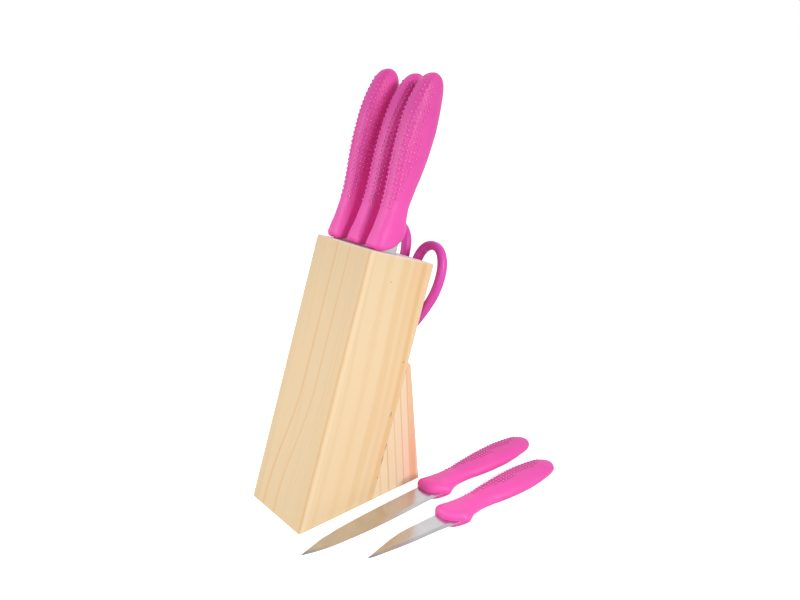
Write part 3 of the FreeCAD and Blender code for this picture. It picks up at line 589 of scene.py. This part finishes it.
def handle(name, spec, to_row, body, node, reach=0.0):
    """reach: how much further the guard comes down towards the block, in millimetres."""
    rings, rows, first, limit = handle_rings(spec)
    for h in rings:
        h[:, 2] -= reach * np.clip(1 - h[:, 2] / 14.0, 0, 1) ** 2
    pitch, cols = spec["pitch"], spec["cols"]
    grid = np.array([np.concatenate([h, h[1:-1][::-1] * np.array([-1, 1, 1])]) for h in rings])
    nr, nc = grid.shape[:2]
    half = nc // 2
    along = np.gradient(grid, axis=0)
    round_ = np.roll(grid, -1, axis=1) - np.roll(grid, 1, axis=1)
    nrm = np.cross(round_, along)
    nrm /= np.maximum(np.linalg.norm(nrm, axis=2, keepdims=True), 1e-9)
    if float(np.sum(nrm * (grid - grid.mean(axis=1, keepdims=True)))) < 0:
        nrm = -nrm
    pts = list(grid.reshape(-1, 3))

    def idx(i, j):
        return i * nc + (j % nc)

    taken, faces, raised, foot = set(), [], {}, {}
    for i, u in rows.items():
        for c in range(cols):
            if float(first(u)) + pitch * c > float(limit(u)) + 1e-6:
                continue
            for j in (3 + 2 * c, nc - 3 - 2 * c):
                cv, n = grid[i, j], nrm[i, j]
                around = [(i + a, j + b) for a, b in ((-1, -1), (-1, 0), (-1, 1), (0, 1), (1, 1), (1, 0), (1, -1), (0, -1))]
                spokes = [grid[p, q % nc] - cv for p, q in around]
                prev = [idx(p, q) for p, q in around]
                for r, h in DOME:
                    this = []
                    for s in spokes:
                        this.append(len(pts))
                        # height up the dot: drives the polished, less rough tops and their painted highlight
                        raised[len(pts)] = h / DOME_TOP
                        # painted shade at the foot of the dot: full on the inner base ring, 0.7 on the outer base ring,
                        # none up the dome
                        foot[len(pts)] = spec["ring"] * (1.0 if r < 0.8 and h < 0.1 else (0.7 if h < 0.1 else 0.0))
                        pts.append(cv + s * (r * spec["dot"] / np.linalg.norm(s)) + n * h * spec["dot"])
                    faces += [(prev[k], prev[(k + 1) % 8], this[(k + 1) % 8], this[k]) for k in range(8)]
                    prev = this
                pts[idx(i, j)] = cv + n * DOME_TOP * spec["dot"]
                raised[idx(i, j)] = 1.0
                faces += [(prev[k], prev[(k + 1) % 8], idx(i, j)) for k in range(8)]
                taken |= {(i + a, (j + b) % nc) for a in (-1, 0) for b in (-1, 0)}
    faces += [(idx(i, j), idx(i, j + 1), idx(i + 1, j + 1), idx(i + 1, j))
              for i in range(nr - 1) for j in range(nc) if (i, j) not in taken]
    # the end face closes across the blade's plane, the butt in one point
    for j in range(half):
        f = []
        for q in (idx(0, -j), idx(0, -(j + 1)), idx(0, j + 1), idx(0, j)):
            if q not in f:
                f.append(q)
        faces.append(tuple(f))
    tip = len(pts)
    pts.append(np.array([0.0, float(grid[-1, :, 1].mean()), spec["u"][-1]]))
    faces += [(idx(nr - 1, j), idx(nr - 1, j + 1), tip) for j in range(nc)]

    mesh = bpy.data.meshes.new(name)
    mesh.from_pydata([tuple(map(float, p)) for p in to_row(np.array(pts)) * MM], [], faces)
    top = mesh.attributes.new("dot_top_polish_and_painted_highlight", "FLOAT", "POINT")
    for k, h in raised.items():
        top.data[k].value = h
    low = mesh.attributes.new("dot_foot_painted_shade", "FLOAT", "POINT")
    for k, h in foot.items():
        low.data[k].value = h
    bm = bmesh.new()
    bm.from_mesh(mesh)
    bmesh.ops.recalc_face_normals(bm, faces=bm.faces)
    for f in bm.faces:
        f.smooth = True
    bm.to_mesh(mesh)
    bm.free()
    mesh.update()
    o = bpy.data.objects.new(name, mesh)
    bpy.context.scene.collection.objects.link(o)
    mesh.materials.append(PINK)
    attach(o, body)
    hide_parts(node)
    return o


def standing(xc, up, dep, tilt):
    """Knife coordinates (across, from the spine, towards the butt) -> row frame, for a knife in its slot."""
    th, cy = math.radians(-tilt), 20 - dep

    def f(p):
        y, z = p[:, 1] - cy, p[:, 2]
        return block(np.stack([p[:, 0] + xc, cy + y * math.cos(th) - z * math.sin(th) + dep,
                               y * math.sin(th) + z * math.cos(th) + BLOCK_L + up], -1))
    return f


def lying(tip, heading, t0, v0, lift):
    ph = math.radians(heading)
    ax, sp, upv = np.array([math.cos(ph), math.sin(ph), 0]), np.array([-math.sin(ph), math.cos(ph), 0]), np.array([0, 0, 1.0])
    org = np.array([tip[0], tip[1], 0]) + ax * t0 + sp * v0 + upv * lift

    def f(p):
        return org + p[:, :1] * upv - p[:, 1:2] * sp + p[:, 2:3] * ax
    return f


for k, where in (("bread_knife", (-25.4, 1.85, 8.94, -0.85)), ("slicing_knife", (0.0, 1.65, 10.2, 2.25)),
                 ("chef_knife", (25.4, 0.6, 9.56, 0.27))):
    handle(k + "_grip", LARGE, standing(*where), k, k + "_handle", {"bread_knife": 1.5, "slicing_knife": 1.6, "chef_knife": 0.6}[k])
for k, where in (("utility_knife", ((66.8, -82.85), 90.25, 127.45, 10.4)), ("paring_knife", ((101.65, -47.35), 88.75, 76.75, 9.6))):
    handle(k + "_grip", SMALL, lying(*where, 8.55), k, k + "_handle")


# ------------------------------------------------------------------ stage
def stage_floor():
    """A plain white floor. It shows white, and gives back only part of the light, like a table lit on its own."""
    m = Mat("floor")
    p = m.mm()
    n = m.noise(p, 0.004, 2.0, 0.5)
    lp = m.node("ShaderNodeLightPath")
    seen = m.ramp(n, [(0.0, (0.94, 0.94, 0.94)), (1.0, (0.96, 0.96, 0.96))])
    m.link(m.mix(lp.outputs["Is Camera Ray"], (0.46, 0.46, 0.46), seen), m.b.inputs["Base Color"])
    m.b.inputs["Roughness"].default_value = 1.0
    m.b.inputs["Specular IOR Level"].default_value = 0.0
    m.b.inputs["Emission Color"].default_value = (1.0, 1.0, 1.0, 1.0)
    x, y, z = m.split(p)
    away = m.math("SQRT", m.math("ADD", m.math("MULTIPLY", x, x), m.math("MULTIPLY", y, y)))
    glow = step(m, away, 250.0, 900.0, 0.80, 1.0)
    m.link(m.math("MAXIMUM", m.math("MULTIPLY", lp.outputs["Is Camera Ray"], glow),
                  m.math("MULTIPLY", lp.outputs["Is Glossy Ray"], 0.75)), m.b.inputs["Emission Strength"])
    bpy.ops.mesh.primitive_plane_add(size=60.0, location=(0, 0, -0.0002))
    o = bpy.context.object
    o.name = "floor"
    o.data.materials.append(m.m)
    return o


def sun(name, strength, angle, toward, colour=(1, 1, 1)):
    d = bpy.data.lights.new(name, "SUN")
    d.energy, d.angle, d.color = strength, math.radians(angle), colour
    o = bpy.data.objects.new(name, d)
    bpy.context.scene.collection.objects.link(o)
    o.rotation_euler = (-Vector(toward)).to_track_quat("-Z", "Y").to_euler()
    return o


def polar(azimuth, elevation, distance, at=(0.0, 0.0, 0.2)):
    a, e = math.radians(azimuth), math.radians(elevation)
    return (at[0] + distance * math.sin(a) * math.cos(e), at[1] - distance * math.cos(a) * math.cos(e), at[2] + distance * math.sin(e))


def area(name, power, size, place, aim, colour=(1, 1, 1)):
    d = bpy.data.lights.new(name, "AREA")
    d.shape, d.size, d.size_y, d.energy, d.color = "RECTANGLE", size[0], size[1], power, colour
    o = bpy.data.objects.new(name, d)
    bpy.context.scene.collection.objects.link(o)
    o.location = place
    o.rotation_euler = (Vector(aim) - Vector(place)).to_track_quat("-Z", "Y").to_euler()
    return o


def spot(name, power, radius, cone, place, aim, colour=(1, 1, 1)):
    """A round studio lamp."""
    d = bpy.data.lights.new(name, "SPOT")
    d.energy, d.shadow_soft_size, d.spot_size, d.spot_blend, d.color = power, radius, math.radians(cone), 1.0, colour
    o = bpy.data.objects.new(name, d)
    bpy.context.scene.collection.objects.link(o)
    o.location = place
    o.rotation_euler = (Vector(aim) - Vector(place)).to_track_quat("-Z", "Y").to_euler()
    return o


stage_floor()
world = bpy.data.worlds.new("studio")
bpy.context.scene.world = world
world.use_nodes = True
wt = world.node_tree
bg = wt.nodes["Background"]
tc = wt.nodes.new("ShaderNodeTexCoord")
dot = wt.nodes.new("ShaderNodeVectorMath")
dot.operation = "DOT_PRODUCT"
dot.inputs[1].default_value = (-0.76, 0.65, 0.0)
wt.links.new(tc.outputs["Generated"], dot.inputs[0])
ramp = wt.nodes.new("ShaderNodeValToRGB")
ramp.color_ramp.elements[0].position, ramp.color_ramp.elements[0].color = 0.0, (0.0, 0.0, 0.0, 1.0)
ramp.color_ramp.elements[1].position, ramp.color_ramp.elements[1].color = 0.75, (1.0, 1.0, 1.0, 1.0)
wt.links.new(dot.outputs["Value"], ramp.inputs[0])
wt.links.new(ramp.outputs[0], bg.inputs["Color"])
bg.inputs["Strength"].default_value = 1.05
backdrop = wt.nodes.new("ShaderNodeBackground")
backdrop.inputs["Color"].default_value = (1.0, 1.0, 1.0, 1.0)
rays = wt.nodes.new("ShaderNodeLightPath")
pick = wt.nodes.new("ShaderNodeMixShader")
wt.links.new(rays.outputs["Is Camera Ray"], pick.inputs[0])
wt.links.new(bg.outputs[0], pick.inputs[1])
wt.links.new(backdrop.outputs[0], pick.inputs[2])
wt.links.new(pick.outputs[0], wt.nodes["World Output"].inputs["Surface"])
AIM = (0.02, 0.0, 0.09)
spot("left", 55.5, 0.34, 46, polar(-30, 20, 1.3), AIM)
spot("front", 22.0, 0.34, 46, polar(30, 22, 1.3), AIM)
spot("key", 76.0, 0.34, 46, polar(100, 22, 1.3), AIM)
bpy.context.scene.view_settings.view_transform = "Standard"
